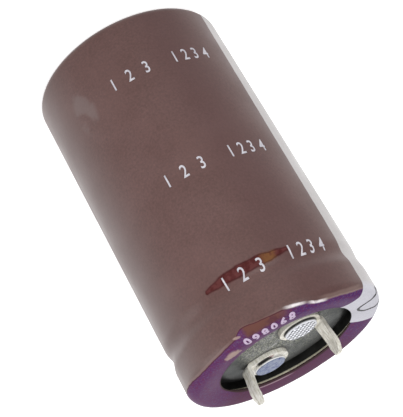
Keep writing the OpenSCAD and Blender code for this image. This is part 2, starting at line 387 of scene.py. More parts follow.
# Sleeve film with its lap, dip, shoulder and lip
filmSet = {
    "radius": 12.9,
    "swellRadius": 12.96,
    "heel": (11.8, 1.1),
    "lapRadius": 9.4,
    "flatRadius": 10.6,
    "sideRings": (2.5, *range(4, 36, 2), 35.4),
    "swellRings": (41.4, 42.0, 42.6),
    "crestRings": (11.1, 10.7, 10.3, 9.9, 9.5, 9.2, 9.0, 8.86),
    "dip": (38.95, 1.75, 0.31),
    "shoulder": (11.48, 43.2, 1.5),
    "lipRadius": 8.8,
    "lipDrop": 0.5,
    "bridge": (-172, 50, 0.17),
    "ripple": {"size": 0.0045, "depth": 0.07, "low": 35, "high": 40},
    "thickness": 0.18,
    "sides": 256,
    "smoothAngle": 40,
}
filmLook = {
    "body": (0.130, 0.067, 0.061),
    "bodySecond": (0.114, 0.057, 0.051),
    "mottle": (0.165, 0.088, 0.080),
    "shade": (0.080, 0.030, 0.030),
    "paleSheen": (0.21, 0.165, 0.160),
    "end": (0.130, 0.043, 0.132),
    "endDeep": (0.100, 0.032, 0.140),
    "endBlue": (0.150, 0.105, 0.210),
    "endRed": (0.165, 0.036, 0.090),
    "endFar": (0.120, 0.046, 0.076),
    "amber": (0.170, 0.074, 0.056),
    "amberSecond": (0.128, 0.050, 0.054),
    "fold": (0.26, 0.145, 0.115),
    "foldPale": (0.285, 0.185, 0.175),
    "foldDark": (0.080, 0.022, 0.036),
    "bright": (0.97, 0.90, 0.92),
    "cream": (0.52, 0.38, 0.33),
    "lipGapShade": (0.060, 0.032, 0.036),
    "pink": (0.62, 0.46, 0.50),
    "patch": (0.078, 0.014, 0.014),
    "patchSecond": (0.125, 0.034, 0.034),
    "patchEdge": (0.035, 0.008, 0.010),
    "patchSpot": (0.20, 0.085, 0.032),
    "stripe": (0.64, 0.605, 0.600),
    "stripeSecond": (0.54, 0.515, 0.515),
    "stripeEnd": (0.76, 0.75, 0.82),
    "cloudScale": 170.0,
    "grainScale": 3600.0,
    "grain": 0.70,
    "rough": (0.30, 0.38),
    "patchRough": 0.12,
    "gloss": (0.30, 0.015),
    "patchGloss": 0.25,
    "bump": 0.16,
}
# Places of the film's marks. Round the can (around) and from the fold line (over) they are
# middle, half width and soft edge in degrees, and strength is how much of the colour shows.
filmMarks = {
    "stripe": {"middle": -177.5, "edges": (20.9, -22.55), "spread": 0.12, "endHeight": (42.8, 44.0)},
    "mottle": {"strength": 0.35},
    "shade": {"around": (-122, 4, 22), "strength": 0.42},
    "paleSheen": {"around": (-12, 6, 48), "strength": 0.52},
    "smudgeAndSheen": {"middle": -57, "half": 9, "height": 8.5, "halfHeight": 4.0, "strength": 0.45},
    "foldLine": ((-152, 39), (-140, 53), (-123, 59), (-112, 42), (-98, 24), (-83, 12), (-76, 0), (-70, 24),
                 (-48, 37), (-22, 15), (0, 6), (25, 12), (60, 34)),
    "waver": 9,
    "foldEdge": 1.2,
    "farSide": {"around": (80, 40, 25), "strength": 0.65},
    "deepSide": {"around": (-150, 30, 60)},
    "amber": {"ends": (-76, -98), "height": (70, 44), "strength": 0.95},
    "edgeDark": {"around": (-58, 44, 10), "over": (2.6, 1.4, 2.4), "strength": 0.8},
    "foldPale": {"around": (-42, 20, 10), "over": (-5, 2.5, 6), "strength": 0.42},
    "foldHighlight": {"around": (-80, 38, 10), "over": (-0.5, 1.6, 3.0), "strength": 0.16},
    "crestHighlights": ({"around": (-105.0, 1.5, 6.0), "over": (-3.5, 2.5, 8)},
                {"around": (-117.5, 2.5, 4.5), "over": (0.0, 2.5, 8)}),
    "thin": {"around": (-137, 13, 6), "over": (-1.5, 1.5, 5), "strength": 0.24},
    "veil": {"around": (-134, 10, 9), "over": (-11, 6, 12), "strength": 0.20},
    "foldGlint": {"middle": -71.2, "half": 2.6, "slant": (-118, 8), "strength": 0.66},
    "ringReflection": {"middle": -62, "half": 6.5, "radius": (11.45, 0.85), "waver": 9, "strength": 0.85},
    "lip": {"radius": (9.02, 8.94), "height": (43, 43.2), "farWider": 0.20},
    "pinkHighlight": {"around": (67, 12, 10), "radius": (9.34, 0.07, 0.08), "strength": 0.50},
    "patch": {"middle": -92.5, "height": 37.35, "waver": 0.5, "narrowing": (8, 25.5),
              "halfHeight": (0.72, 0.28), "ends": (23.5, 25.5), "endDrop": 0.6, "edge": 0.14,
              "rim": (0.26, 0.10), "rimStrength": 0.6, "spot": (-13, 1.8, 4.0), "strength": 0.9},
}


def filmTop(r):
    f = filmSet
    centre, height, arc = f["shoulder"]
    if r > centre:
        return height + math.sqrt(max(arc ** 2 - (r - centre) ** 2, 0))
    return height + arc - f["lipDrop"] * ((centre - r) / (centre - f["lipRadius"])) ** 2


def filmSide(z):
    f = filmSet
    middle, half, depth = f["dip"]
    t = (z - middle) / half
    r = f["radius"]
    if abs(t) < 1:
        r -= depth * (1 + math.cos(math.pi * t)) / 2
    swell = min(max(t, 0), 1)
    return r + (f["swellRadius"] - f["radius"]) * (1 - math.cos(math.pi * swell)) / 2


def filmOver(s):
    # radius and height at the distance s outwards from the crest, along the film
    centre, height, arc = filmSet["shoulder"]
    if s < 0:
        return centre + s, filmTop(centre + s)
    turn = s / arc
    return centre + arc * math.sin(turn), height + arc * math.cos(turn)


def filmProfile():
    # radius and height of each ring, from the lap under the can to the lip
    f = filmSet
    rings = [(f["lapRadius"], 0.0), (f["flatRadius"], 0.0)]
    heelCentre, heelArc = f["heel"]
    for i in range(9):
        a = math.radians(-90 + 90 * i / 8)
        rings.append((heelCentre + heelArc * math.cos(a), heelArc + heelArc * math.sin(a)))
    rings += [(f["radius"], z) for z in f["sideRings"]]
    middle, half, _ = f["dip"]
    rings += [(filmSide(middle + half * t / 12), middle + half * t / 12) for t in range(-13, 14)]
    centre, height, arc = f["shoulder"]
    rings += [(filmSide(z), z) for z in f["swellRings"]]
    for i in range(17):
        a = math.radians(90 * i / 16)
        rings.append((centre + (arc - 0.02) * math.cos(a), height + arc * math.sin(a)))
    rings += [(r, filmTop(r)) for r in f["crestRings"]]
    rings += [(f["lipRadius"], filmTop(f["lipRadius"]) - 0.03)]
    return rings


def growShell(name, rings, sides):
    deselectAll()
    bpy.ops.mesh.primitive_circle_add(vertices=sides, radius=rings[0][0] * mm, location=(0, 0, 0))
    piece = bpy.context.object
    piece.name = name
    bpy.ops.object.mode_set(mode="EDIT")
    bpy.ops.mesh.select_all(action="SELECT")
    bpy.ops.transform.translate(value=(0, 0, rings[0][1] * mm))
    for (r0, z0), (r1, z1) in zip(rings, rings[1:]):
        bpy.ops.mesh.extrude_region_move(TRANSFORM_OT_translate={"value": (0, 0, (z1 - z0) * mm)})
        bpy.ops.transform.resize(value=(r1 / r0, r1 / r0, 1), center_override=(0, 0, z1 * mm))
    bpy.ops.mesh.select_all(action="SELECT")
    bpy.ops.mesh.normals_make_consistent(inside=False)
    bpy.ops.object.mode_set(mode="OBJECT")
    return piece


def bridgeBead(piece):
    # on one side the film spans the bead more tightly, so its dip is shallower there
    middle, half, _ = filmSet["dip"]
    angle, spread, lift = filmSet["bridge"]
    for v in piece.data.vertices:
        t = (v.co.z / mm - middle) / half
        away = math.radians(angle) - math.atan2(v.co.y, v.co.x)
        away = abs(math.degrees(math.atan2(math.sin(away), math.cos(away))))
        if abs(t) < 1 and away < spread:
            share = (1 + math.cos(math.pi * t)) * (1 + math.cos(math.pi * away / spread)) / 4
            out = Vector((v.co.x, v.co.y, 0)).normalized()
            v.co += out * lift * share * mm


def addRipple(piece, name, ripple):
    # slightly uneven film, growing from the low height to the high one
    group = piece.vertex_groups.new(name=name)
    for v in piece.data.vertices:
        weight = (v.co.z / mm - ripple["low"]) / (ripple["high"] - ripple["low"])
        group.add([v.index], min(max(weight, 0), 1), "REPLACE")
    clouds = bpy.data.textures.new(name, "CLOUDS")
    clouds.noise_scale = ripple["size"]
    addModifier(piece, "DISPLACE", texture=clouds, texture_coords="LOCAL", strength=ripple["depth"] * mm,
                mid_level=0.85, vertex_group=name)


def filmBody(web, place, height, look, marks):
    group = useGroup(web, grainAndCloud, Vector=place, Color=(*look["body"], 1),
                     Second_Color=(*look["bodySecond"], 1), Cloud_Scale=look["cloudScale"],
                     Grain_Scale=look["grainScale"], Grain_Amount=look["grain"])
    mottle = web.ramp(web.noise(place, 95, 3, 0.55), 0.50, 0.74)
    color = web.paint(group.outputs["Color"], look["mottle"], mottle, marks["mottle"]["strength"])
    # painted shade: a soft darker band runs beside the stripe
    m = marks["shade"]
    color = web.paint(color, look["shade"], web.sector(place, m["around"]), m["strength"])
    # painted sheen: a pale speckled patch low on the body
    m = marks["smudgeAndSheen"]
    smudgeAndSheen = web.blob(web.azimuth(place, m["middle"]), 0, m["half"] * degree,
                      height, m["height"] * mm, m["halfHeight"] * mm)
    color = web.paint(color, look["paleSheen"], smudgeAndSheen, web.speckle(place, 380, 3, 0.40, 0.60), m["strength"])
    # painted sheen: a pale band along one side of the body, away from the stripe
    m = marks["paleSheen"]
    return group, web.paint(color, look["paleSheen"], web.sector(place, m["around"]), m["strength"])


def filmEnd(web, place, around, arcTurn, over, speck, look, marks):
    # violet with blue and red specks, amber on the near side, dark along the fold
    tone = web.mix(web.sector(place, marks["deepSide"]["around"]), (*look["end"], 1), (*look["endDeep"], 1))
    tone = web.paint(tone, look["endBlue"], web.ramp(speck, 0.50, 0.66, 0.0, 0.7))
    redSpeck = web.noise(place, 3300, 2, 0.7)
    tone = web.paint(tone, look["endRed"], web.ramp(redSpeck, 0.50, 0.68, 0.0, 0.75))
    m = marks["farSide"]
    farSide = web.sector(place, m["around"])
    tone = web.paint(tone, look["endFar"], farSide, m["strength"])
    m = marks["amber"]
    amber = web.times(web.ramp(web.azimuth(place, m["ends"][0]), 2 * degree, -1.5 * degree),
                      web.ramp(web.azimuth(place, m["ends"][1]), -8 * degree, 5 * degree),
                      web.ramp(arcTurn, m["height"][0] * degree, m["height"][1] * degree))
    cloud = web.speckle(place, 900, 3, 0.40, 0.60)
    amberTone = web.mix(cloud, (*look["amber"], 1), (*look["amberSecond"], 1))
    tone = web.mix(web.times(amber, m["strength"]), tone, amberTone)
    return farSide, web.foldMark(tone, look["foldDark"], marks["edgeDark"], around, over)


def filmHighlights(web, place, around, arcTurn, over, radius, color, look, marks):
    # painted highlights and sheen along the fold and on the crest, and a painted reflection on the end
    # painted sheen just below the fold, and a thin painted highlight on the fold line
    color = web.foldMark(color, look["foldPale"], marks["foldPale"], around, over)
    color = web.foldMark(color, look["fold"], marks["foldHighlight"], around, over)
    # bright painted highlights on the crest
    first, second = (web.times(web.degreesNear(around, m["around"]), web.degreesNear(over, m["over"]))
                     for m in marks["crestHighlights"])
    crestHighlights = web.math("ADD", first, second, clamp=True)
    color = web.paint(color, look["bright"], crestHighlights, web.speckle(place, 2200, 2, 0.30, 0.50, 0.72, 1.0))
    # a thin cream painted highlight along the fold towards the stripe, and a faint cream veil below it
    for name in ("thin", "veil"):
        color = web.foldMark(color, look["cream"], marks[name], around, over)
    # a cream painted highlight on the fold near the front
    m = marks["foldGlint"]
    slant = web.math("MULTIPLY_ADD", around, 2.0, arcTurn)
    foldGlint = web.blob(around, m["middle"] * degree, m["half"] * degree,
                   slant, m["slant"][0] * degree, m["slant"][1] * degree)
    color = web.paint(color, look["cream"], foldGlint, m["strength"])
    # a cream painted reflection on the end near the front
    m = marks["ringReflection"]
    blurred = web.math("ADD", around, web.waver(place, 1500, 2, m["waver"] * degree))
    ringReflection = web.blob(blurred, m["middle"] * degree, m["half"] * degree,
                     radius, m["radius"][0] * mm, m["radius"][1] * mm)
    return web.paint(color, look["cream"], ringReflection, m["strength"])


def filmLip(web, place, height, radius, farSide, color, look, marks):
    # painted shade along the inner edge of the lip, wider on the far side
    m = marks["lip"]
    inwards = web.math("SUBTRACT", radius, web.times(farSide, m["farWider"] * mm))
    color = web.paint(color, look["lipGapShade"], web.rise(inwards, m["radius"]), web.rise(height, m["height"]))
    # a thin pink painted highlight on the far side of the end
    m = marks["pinkHighlight"]
    line = web.near(radius, *(value * mm for value in m["radius"]))
    return web.paint(color, look["pink"], line, web.sector(place, m["around"]), m["strength"])


def filmPatch(web, place, height, color, look, marks):
    # darker patch where the film stands off the bead, rougher and less glossy there; its dark colour is a
    # painted dark reflection
    m = marks["patch"]
    angle = web.azimuth(place, m["middle"])
    away = web.math("ABSOLUTE", angle)
    edge = web.math("MULTIPLY_ADD", web.math("SUBTRACT", web.noise(place, 700, 3), 0.5),
                    m["waver"] * mm, m["height"] * mm)
    rise = web.math("ABSOLUTE", web.math("SUBTRACT", height, edge))
    narrow = web.ramp(away, m["narrowing"][0] * degree, m["narrowing"][1] * degree,
                      m["halfHeight"][0] * mm, m["halfHeight"][1] * mm)
    ends = web.ramp(away, m["ends"][0] * degree, m["ends"][1] * degree, 0.0, m["endDrop"] * mm)
    inside = web.math("SUBTRACT", web.math("SUBTRACT", narrow, ends), rise)
    patch = web.ramp(inside, -m["edge"] * mm, m["edge"] * mm)
    rim = web.times(patch, web.rise(inside, m["rim"]))
    tone = web.mix(web.speckle(place, 1500, 3, 0.38, 0.62), (*look["patch"], 1), (*look["patchSecond"], 1))
    broken = web.speckle(place, 1300, 2, 0.36, 0.56, 0.3, 1.0)
    tone = web.paint(tone, look["patchSpot"], web.degreesNear(angle, m["spot"]), broken)
    tone = web.paint(tone, look["patchEdge"], rim, m["rimStrength"])
    return patch, web.mix(web.times(patch, m["strength"]), color, tone)


def filmStripe(web, place, height, speck, color, look, marks):
    m = marks["stripe"]
    angle = web.math("ADD", web.azimuth(place, m["middle"]), web.waver(place, 900, 2, 0.012))
    nearEdge = web.math("MULTIPLY_ADD", height, m["spread"] * degree / mm, m["edges"][0] * degree)
    farEdge = m["edges"][1]
    stripe = web.times(web.ramp(web.math("SUBTRACT", nearEdge, angle), -0.003, 0.003),
                       web.ramp(angle, (farEdge - 0.15) * degree, (farEdge + 0.15) * degree))
    tone = web.mix(web.noise(place, 300, 4), (*look["stripe"], 1), (*look["stripeSecond"], 1))
    tone = web.paint(tone, look["stripeEnd"], web.rise(height, m["endHeight"]))
    return web.mix(stripe, color, web.scale(tone, web.ramp(speck, 0.3, 0.7, 0.94, 1.04)))


def filmMaterial(look, marks):
    material, web, shader, place = newMaterial("sleeveFilm")
    height = web.split(place)["Z"]
    radius = web.radius(place)
    around = web.azimuth(place, 0)
    speck = web.noise(place, 4200, 2, 0.7)
    group, color = filmBody(web, place, height, look, marks)

    # violet over the end, from a fold line that dips on the near side
    centre, crest, _ = filmSet["shoulder"]
    arcTurn = web.math("ARCTAN2", web.math("SUBTRACT", height, crest * mm),
                       web.math("SUBTRACT", radius, centre * mm))
    waver = web.waver(place, 900, 3, marks["waver"] * degree)
    over = web.math("SUBTRACT", arcTurn, web.math("ADD", web.curve(around, marks["foldLine"]), waver))
    violet = web.ramp(over, -marks["foldEdge"] * degree, marks["foldEdge"] * degree)
    farSide, endTone = filmEnd(web, place, around, arcTurn, over, speck, look, marks)
    color = web.mix(violet, color, endTone)
    color = filmHighlights(web, place, around, arcTurn, over, radius, color, look, marks)
    color = filmLip(web, place, height, radius, farSide, color, look, marks)
    patch, color = filmPatch(web, place, height, color, look, marks)
    color = filmStripe(web, place, height, speck, color, look, marks)
    web.join(color, shader.inputs["Base Color"])

    rough = web.ramp(group.outputs["Cloud"], 0, 1, *look["rough"])
    web.join(web.math("ADD", rough, web.times(patch, look["patchRough"])), shader.inputs["Roughness"])
    gloss = web.ramp(violet, 0, 1, *look["gloss"])
    gloss = web.math("SUBTRACT", gloss, web.times(patch, look["patchGloss"]), clamp=True)
    web.join(gloss, shader.inputs["Specular IOR Level"])
    addBump(web, shader, group.outputs["Grain"], look["bump"], 0.00003)
    return material


filmShell = growShell("sleeveFilm", filmProfile(), filmSet["sides"])
bridgeBead(filmShell)
addRipple(filmShell, "filmRipple", filmSet["ripple"])
addModifier(filmShell, "SOLIDIFY", thickness=filmSet["thickness"] * mm, offset=-1, use_even_offset=True)
smoothShade(filmShell, filmSet["smoothAngle"])
finishPiece(filmShell, filmMaterial(filmLook, filmMarks), "sleeve")
print("sleeve film: made")


# Plain numbers and the loop printed on the film
printSet = {
    "rows": (8.35, 23.3, 37.95),
    "spaced": (("1", -79.6), ("2", -89.8), ("3", -100.0)),
    "close": (("1", -117.1), ("2", -123.7), ("3", -130.2), ("4", -137.6)),
    "height": 1.75,
    "width": 0.72,
    "boldness": 0.012,
    "fontScale": 1.38,
    "sideStandOff": 0.1,
    "lift": 0.02,
    "thickness": 0.012,
    "endDigits": (("0", -74.1, 0.38), ("9", -79.4, 0.18), ("8", -85.0, 0.12), ("0", -90.6, 0.15),
                  ("6", -96.2, 0.17), ("8", -101.6, 0.30)),
    "endHeight": 1.25,
    "endWidth": 0.85,
    "endBoldness": 0.065,
    "loopWidth": 0.36,
    "loop": ((-168.0, 12.93, 43.57), (-170.4, 12.70, 44.07), (-168.2, 11.99, 44.61), (-168.7, 10.64, 44.65),
             (-174.0, 9.75, 44.50), (179.3, 10.24, 44.59), (177.6, 11.16, 44.69), (176.4, 12.18, 44.53),
             (176.4, 12.62, 44.16)),
}


def addGlyph(character, height, boldness, p):
    deselectAll()
    bpy.ops.object.text_add(location=(0, 0, 0))
    glyph = bpy.context.object
    glyph.data.body = character
    glyph.data.align_x = "CENTER"
    glyph.data.align_y = "CENTER"
    glyph.data.size = p["fontScale"] * height * mm
    glyph.data.offset = boldness * height * mm
    glyph.data.resolution_u = 4
    bpy.ops.object.convert(target="MESH")
    editAll(glyph)
    bpy.ops.mesh.remove_doubles(threshold=1e-7)
    bpy.ops.mesh.subdivide(number_cuts=2)
    bpy.ops.object.mode_set(mode="OBJECT")
    return glyph


def joinPieces(name, pieces):
    pick(*pieces)
    bpy.ops.object.join()
    whole = bpy.context.object
    whole.name = name
    return whole


def layOnSide(glyph, angle, z, p):
    for v in glyph.data.vertices:
        here = z - v.co.y / mm
        r = filmSide(here) + p["sideStandOff"]
        turn = math.radians(angle) - v.co.x * p["width"] / mm / r
        v.co = Vector((r * math.cos(turn), r * math.sin(turn), here)) * mm


def layOnEnd(glyph, angle, outwards, p):
    for v in glyph.data.vertices:
        r, z = filmOver(outwards + v.co.y / mm)
        turn = math.radians(angle) - v.co.x * p["endWidth"] / mm / filmSet["shoulder"][0]
        v.co = Vector((r * math.cos(turn), r * math.sin(turn), z + p["lift"])) * mm


def layOnFilm(piece, p):
    addModifier(piece, "SHRINKWRAP", target=filmShell, wrap_method="NEAREST_SURFACEPOINT",
                wrap_mode="ABOVE_SURFACE", offset=p["lift"] * mm)


def printDigits(p):
    glyphs = []
    for z in p["rows"]:
        for character, angle in p["spaced"] + p["close"]:
            glyph = addGlyph(character, p["height"], p["boldness"], p)
            layOnSide(glyph, angle, z, p)
            glyphs.append(glyph)
    for character, angle, outwards in p["endDigits"]:
        glyph = addGlyph(character, p["endHeight"], p["endBoldness"], p)
        layOnEnd(glyph, angle, outwards, p)
        glyphs.append(glyph)
    whole = joinPieces("printedDigits", glyphs)
    layOnFilm(whole, p)
    addModifier(whole, "SOLIDIFY", thickness=p["thickness"] * mm, offset=-1)
    return whole


inkLooks = {
    "white": {"color": (0.72, 0.70, 0.75), "second": (0.60, 0.58, 0.64)},
    "grey": {"color": (0.012, 0.010, 0.014), "second": (0.03, 0.027, 0.035)},
    "end": {"color": (0.64, 0.50, 0.68), "height": (42.6, 43.2)},
    "both": {"cloudScale": 900.0, "grainScale": 9000.0, "grain": 0.25, "rough": (0.45, 0.6), "gloss": 0.4,
             "bump": 0.1},
}


def inkMarks(web, place, color):
    # the figures on the end are thinner, so the violet shows through
    m = inkLooks["end"]
    return web.paint(color, m["color"], web.rise(web.split(place)["Z"], m["height"]))


def inkMaterial(name, look, marks=None):
    return softMaterial(name, {**inkLooks["both"], **look}, marks)


digits = printDigits(printSet)
finishPiece(digits, inkMaterial("whiteInk", inkLooks["white"], inkMarks))


def printLoop(p):
    points = []
    for angle, r, z in p["loop"]:
        a = math.radians(angle)
        points.append(Vector((r * math.cos(a), r * math.sin(a), z)) * mm)
    deselectAll()
    bpy.ops.curve.primitive_bezier_curve_add(location=(0, 0, 0))
    line = bpy.context.object
    spline = line.data.splines[0]
    spline.bezier_points.add(len(points) - 2)
    for point, place in zip(spline.bezier_points, points):
        point.co = place
        point.handle_left_type = point.handle_right_type = "AUTO"
    line.data.resolution_u = 8
    line.data.bevel_depth = p["loopWidth"] / 2 * mm
    line.data.bevel_resolution = 2
    line.data.use_fill_caps = True
    bpy.ops.object.convert(target="MESH")
    line.name = "stripeLoop"
    layOnFilm(line, p)  # presses the round line flat
    return line


loop = printLoop(printSet)
finishPiece(loop, inkMaterial("greyInk", inkLooks["grey"]))
print("print: made")


# Metal, rubber and paper finishes
metalLooks = {
    "can": {"color": (0.62, 0.62, 0.60), "stain": (0.48, 0.48, 0.46), "lineScale": 2600.0,
            "smudgeScale": 260.0, "rough": (0.30, 0.45), "metallic": 1.0, "bump": 0.25},
    "blade": {"color": (0.86, 0.83, 0.74), "stain": (0.58, 0.55, 0.48), "lineScale": 5200.0,
              "smudgeScale": 1500.0, "rough": (0.38, 0.52), "metallic": 0.35, "bump": 0.4},
    "paleBlade": {"color": (0.98, 0.96, 0.89), "stain": (0.60, 0.57, 0.47), "lineScale": 4600.0,
                  "smudgeScale": 1500.0, "rough": (0.38, 0.52), "metallic": 0.1, "bump": 0.4},
    "brightRivet": {"color": (0.86, 0.87, 0.92), "stain": (0.72, 0.74, 0.80), "lineScale": 4200.0,
                    "smudgeScale": 900.0, "rough": (0.30, 0.42), "metallic": 0.8, "bump": 0.2},
    "blueRivet": {"color": (0.20, 0.24, 0.34), "stain": (0.055, 0.07, 0.18), "lineScale": 3600.0,
                  "smudgeScale": 1800.0, "rough": (0.26, 0.42), "metallic": 0.9, "bump": 0.6},
    "rivet": {"color": (0.66, 0.67, 0.70), "stain": (0.52, 0.53, 0.56), "lineScale": 4200.0,
              "smudgeScale": 900.0, "rough": (0.28, 0.42), "metallic": 1.0, "bump": 0.3},
    "tab": {"color": (0.60, 0.61, 0.62), "stain": (0.45, 0.46, 0.48), "lineScale": 6000.0,
            "smudgeScale": 500.0, "rough": (0.3, 0.5), "metallic": 1.0, "bump": 0.25},
}
softLooks = {
    "rubber": {"color": (0.215, 0.215, 0.212), "second": (0.150, 0.155, 0.142), "cloudScale": 620.0,
               "grainScale": 5200.0, "grain": 3.4, "rough": (0.55, 0.68), "gloss": 0.3, "bump": 0.7},
    "board": {"color": (0.155, 0.070, 0.030), "second": (0.11, 0.05, 0.022), "cloudScale": 300.0,
              "grainScale": 2600.0, "grain": 0.5, "rough": (0.5, 0.62), "gloss": 0.35, "bump": 0.35},
    "winding": {"color": (0.27, 0.245, 0.19), "second": (0.20, 0.185, 0.15), "cloudScale": 260.0,
                "grainScale": 3000.0, "grain": 0.6, "rough": (0.6, 0.78), "gloss": 0.25, "bump": 0.45},
    "tape": {"color": (0.56, 0.33, 0.10), "second": (0.48, 0.27, 0.08), "cloudScale": 180.0,
             "grainScale": 2400.0, "grain": 0.3, "rough": (0.32, 0.45), "gloss": 0.5, "bump": 0.2},
}

# Marks on the terminal end, with the rivets' places that they share
rivetSet = {
    "middle": (2.65, 3.2),
    "ringTop": 43.55,
    "headTop": 44.05,
    "headRadius": 2.075,
    "openingAngle": -78,
}
rubberSet = {
    "paleGrain": (0.44, 0.44, 0.34),
    "darkGrain": (0.040, 0.048, 0.036),
    "far": {"color": (0.045, 0.050, 0.048), "y": (0.4, 4.4), "strength": 0.62},
    "positiveEnd": {"color": (0.040, 0.042, 0.042), "x": (4.4, 6.2), "y": (-3.8, -1.8), "strength": 0.75},
    "ends": {"color": (0.062, 0.066, 0.066), "across": (4.0, 7.2), "strength": 0.85},
    "farWall": {"color": (0.022, 0.022, 0.021), "radius": (4.8, 8.0), "y": (1.5, 4.0), "strength": 0.9},
    "compoundAndShade": {"color": (0.014, 0.014, 0.014), "radius": (7.75, 8.45), "strength": 0.92},
    "rivetShade": {"color": (0.02, 0.02, 0.02), "radius": (3.4, 2.6), "strength": 0.7},
    "scuff": {"color": (0.42, 0.42, 0.40), "turn": 25, "middle": (1.03, -0.57), "long": (0.35, 0.2),
              "wide": (0.12, 0.15)},
}
# painted glint on the curl's top edge, with black compound and painted shade below it
curlSet = {
    "edge": (0.92, 0.86, 0.68),
    "compoundAndShade": (0.050, 0.050, 0.046),
    "radius": (10.3, 10.1),
    "height": (42.0, 42.2),
    "edgeHeight": (43.63, 43.57),
}
bladeSet = {
    "creviceShade": {"color": (0.015, 0.014, 0.012), "beyondHead": (0.16, 0.04), "strength": 0.9,
                "positiveSide": (0.1, 0.45, 0.2)},
    "openingShade": {"color": (0.030, 0.028, 0.026), "side": (-0.05, 0.36, 0.12), "radius": (2.60, 2.48)},
    "pinkReflection": {"color": (0.42, 0.26, 0.25), "side": (-0.52, 0.10, 0.10), "radius": (2.50, 2.36)},
    "bladeHeight": (43.9, 44.2),
    "lineScale": 5200,
    "scratch": {"color": (0.40, 0.38, 0.28), "range": (0.56, 0.64), "strength": 0.55},
    "rubbed": {"color": (0.98, 0.97, 0.92), "range": (0.44, 0.36), "strength": 0.7},
}
headSet = {
    "groove": {"color": (0.02, 0.02, 0.025), "below": (0.012, 0.06), "radius": (1.95, 1.85),
               "strength": 0.93},
    "foot": {"color": (0.012, 0.012, 0.014), "aboveRing": (0.30, 0.16), "strength": 0.95},
    "wall": {"color": (0.90, 0.89, 0.88), "below": (0.05, 0.12), "strength": 0.9},
    "hollowShade": {"color": (0.030, 0.028, 0.026), "below": (0.24, 0.30), "side": (-0.05, 0.42, 0.16),
               "strength": 0.95},
    "sideRadius": (1.6, 1.7),
}


def openingTurn(web, place):
    # angle about the positive rivet, from the side where its ring stands open
    parts = web.split(place, rivetSet["openingAngle"], rivetSet["middle"])
    return web.math("ARCTAN2", parts["Y"], parts["X"])


def rubberMarks(web, place, color):
    s = rubberSet
    pale = web.ramp(web.noise(place, 3600, 2, 0.75), 0.53, 0.62, 0.0, 0.9)
    color = web.paint(color, s["paleGrain"], pale)
    dark = web.ramp(web.noise(place, 3000, 2, 0.75), 0.46, 0.37, 0.0, 0.92)
    color = web.paint(color, s["darkGrain"], dark)
    # darker towards the far side and under the far wall as painted shade, darker towards both ends and at
    # the positive end, with a black ring of compound and painted shade on the rim
    parts = web.split(place)
    values = {"x": parts["X"], "y": parts["Y"], "across": web.math("ABSOLUTE", parts["X"]),
              "radius": web.radius(place)}
    for name in ("far", "positiveEnd", "ends", "farWall", "compoundAndShade"):
        m = s[name]
        masks = [web.rise(values[key], m[key]) for key in values if key in m]
        color = web.paint(color, m["color"], *masks, m["strength"])
    # painted shade round both rivets
    m = s["rivetShade"]
    x, y = rivetSet["middle"]
    for middle in ((x, y), (-x, -y)):
        shade = web.rise(web.radius(place, middle), m["radius"])
        color = web.paint(color, m["color"], shade, m["strength"])
    m = s["scuff"]
    scuff = web.split(place, m["turn"], m["middle"])
    return web.paint(color, m["color"], web.near(scuff["X"], 0, m["long"][0] * mm, m["long"][1] * mm),
                     web.near(scuff["Y"], 0, m["wide"][0] * mm, m["wide"][1] * mm))


def canMarks(web, place, color):
    # painted glint along the top of the curl's wall, black compound and painted shade below it
    height = web.split(place)["Z"]
    inside = web.times(web.rise(web.radius(place), curlSet["radius"]), web.rise(height, curlSet["height"]))
    color = web.paint(color, curlSet["edge"], inside)
    return web.paint(color, curlSet["compoundAndShade"], inside, web.rise(height, curlSet["edgeHeight"]))


def bladeMarks(web, place, color):
    # painted shade in the crevice round the rivets' heads, wider on one side of the positive one
    height = web.split(place)["Z"]
    flat = web.near(height, rivetSet["ringTop"] * mm, 0.03 * mm, 0.05 * mm)
    x, y = rivetSet["middle"]
    radius = web.radius(place, (x, y))
    around = openingTurn(web, place)
    m = bladeSet["creviceShade"]
    gapEdge = [rivetSet["headRadius"] + beyond for beyond in m["beyondHead"]]
    positiveGap = web.times(web.rise(radius, gapEdge), web.near(around, *m["positiveSide"]))
    negativeGap = web.rise(web.radius(place, (-x, -y)), gapEdge)
    for gap in (positiveGap, negativeGap):
        color = web.paint(color, m["color"], gap, flat, m["strength"])
    # painted shade in the positive ring's opening, and a pink painted reflection beside it
    for m in (bladeSet["openingShade"], bladeSet["pinkReflection"]):
        side = web.near(around, *m["side"])
        color = web.paint(color, m["color"], side, web.rise(radius, m["radius"]), flat)
    # fine scratches and bright rubbed lines along the blades
    stretch = web.put("ShaderNodeMapping", vector_type="POINT")
    stretch.inputs["Scale"].default_value = (1, 1, 0.04)
    web.join(place, stretch.inputs["Vector"])
    lines = web.noise(stretch.outputs["Vector"], bladeSet["lineScale"], 2, 0.6)
    upright = web.rise(height, bladeSet["bladeHeight"])
    for m in (bladeSet["scratch"], bladeSet["rubbed"]):
        color = web.paint(color, m["color"], web.ramp(lines, *m["range"]), upright, m["strength"])
    return color


def levelBelow(web, height, depths):
    return web.rise(height, [rivetSet["headTop"] - depth for depth in depths])


def negativeHeadMarks(web, place, color):
    # painted shade in the pressed grooves, and the shaded foot of the head's wall
    height = web.split(place)["Z"]
    x, y = rivetSet["middle"]
    radius = web.radius(place, (-x, -y))
    m = headSet["groove"]
    color = web.paint(color, m["color"], levelBelow(web, height, m["below"]), web.rise(radius, m["radius"]),
                      m["strength"])
    m = headSet["foot"]
    foot = web.rise(height, [rivetSet["ringTop"] + above for above in m["aboveRing"]])
    return web.paint(color, m["color"], foot, web.rise(radius, headSet["sideRadius"]), m["strength"])


